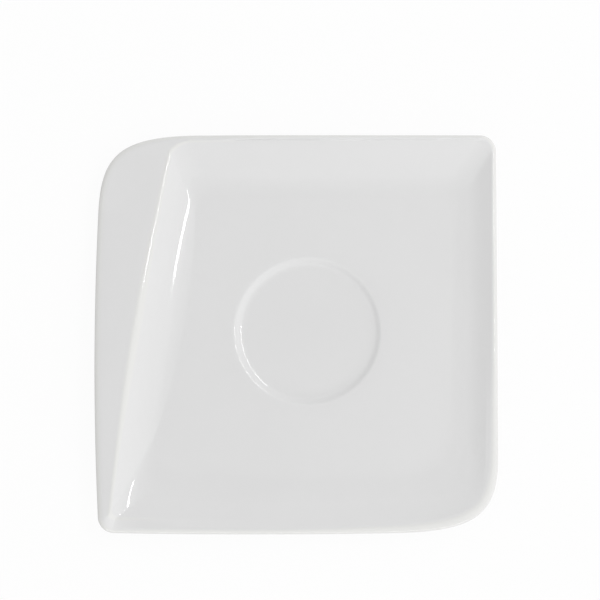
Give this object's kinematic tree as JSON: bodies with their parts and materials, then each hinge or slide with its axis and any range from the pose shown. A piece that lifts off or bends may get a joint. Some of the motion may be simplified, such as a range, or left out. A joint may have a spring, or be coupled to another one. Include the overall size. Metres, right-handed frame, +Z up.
{
  "type": "saucer",
  "caption": "Nearly square glazed porcelain saucer with a round cup well, scooped rims and a slanting crest beside a wing along its left side.",
  "frame": {"origin": "on the table under the middle of the saucer's box", "axes": "+X to the saucer's right, away from the wing; +Y to its back, where the wing is widest; +Z up"},
  "size_m": [0.16, 0.158, 0.0157],
  "materials": {
    "bare_porcelain": "fired and polished, bare, matte, faintly warm",
    "white_glaze": "clear glossy glaze over white porcelain",
    "underside_glaze": "clear glossy glaze over white porcelain, slightly thinner than on top"
  },
  "bodies": {
    "root": {"porcelain_body": "bare_porcelain", "glaze_coat": "white_glaze", "underside_glaze": "underside_glaze"}
  },
  "joints": []
}
